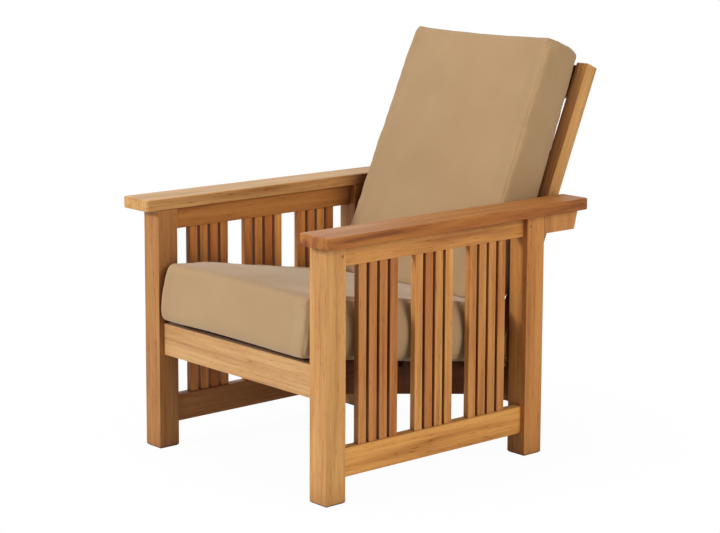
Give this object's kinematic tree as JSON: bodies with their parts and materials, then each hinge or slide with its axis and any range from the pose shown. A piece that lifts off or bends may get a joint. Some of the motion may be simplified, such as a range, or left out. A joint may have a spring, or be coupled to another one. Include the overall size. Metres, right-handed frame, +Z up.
{
  "type": "reclining armchair",
  "caption": "Wooden armchair in the mission style with slatted sides, flat arms, box cushions and a slatted back that tips on bolts and is locked by pegs.",
  "frame": {"origin": "on the floor, under the middle of the chair's overall width and depth", "axes": "+Z up, -Y is the way the sitter faces, +X is to the sitter's left"},
  "size_m": [0.7558, 0.9619, 0.9946],
  "materials": {
    "teak": "lightly oiled, satin",
    "cushion_fabric": "plain woven, matt",
    "brass_hardware": "satin"
  },
  "bodies": {
    "frame": {"post_front_left": "teak", "post_front_right": "teak", "post_rear_left": "teak", "post_rear_right": "teak", "arm_left": "teak", "arm_right": "teak", "arm_block_left": "teak", "arm_block_right": "teak", "side_top_rail_left": "teak", "side_top_rail_right": "teak", "side_bottom_rail_left": "teak", "side_bottom_rail_right": "teak", "dowel_front_left": "teak", "dowel_front_right": "teak", "dowel_rear_left": "teak", "dowel_rear_right": "teak", "seat_rail_left": "teak", "seat_rail_right": "teak", "pivot_bolt_left": "brass_hardware", "pivot_bolt_right": "brass_hardware", "pivot_nut_left": "brass_hardware", "pivot_nut_right": "brass_hardware", "pivot_spacer_left": "brass_hardware", "pivot_spacer_right": "brass_hardware", "side_slats_left_front": "teak", "side_slats_left_middle": "teak", "side_slats_left_rear": "teak", "side_slats_right_front": "teak", "side_slats_right_middle": "teak", "side_slats_right_rear": "teak", "front_rail": "teak", "rear_rail": "teak", "stop_rail": "teak", "seat_cushion": "cushion_fabric", "deck_slat_1": "teak", "deck_slat_2": "teak", "deck_slat_3": "teak", "deck_slat_4": "teak", "deck_slat_5": "teak", "deck_slat_6": "teak", "deck_slat_7": "teak", "deck_slat_8": "teak"},
    "back": {"back_stile_left": "teak", "back_stile_right": "teak", "back_head_rail": "teak", "back_upper_rail": "teak", "back_middle_rail": "teak", "back_lower_rail": "teak"},
    "back_cushion": {"back_cushion": "cushion_fabric"},
    "locking_peg_left": {"locking_peg_left": "teak"},
    "locking_peg_right": {"locking_peg_right": "teak"}
  },
  "joints": [
    {"name": "back_recline", "type": "hinge", "parent": "frame", "child": "back", "pos_m": [0, 0.16861, 0.226], "axis": [1, 0, 0], "range_deg": [0, 11.6]},
    {"name": "back_cushion_ride", "type": "slide", "parent": "back", "child": "back_cushion", "axis": [0, 0.3939, 0.9191], "range_m": [0, 0.03]},
    {"name": "locking_peg_left_slide", "type": "slide", "parent": "back", "child": "locking_peg_left", "axis": [1, 0, 0], "range_m": [0, 0.026]},
    {"name": "locking_peg_right_slide", "type": "slide", "parent": "back", "child": "locking_peg_right", "axis": [-1, 0, 0], "range_m": [0, 0.026]}
  ],
  "couplings": [
    {"joint": "back_cushion_ride", "follows": "back_recline", "m_per_rad": 0.147}
  ]
}
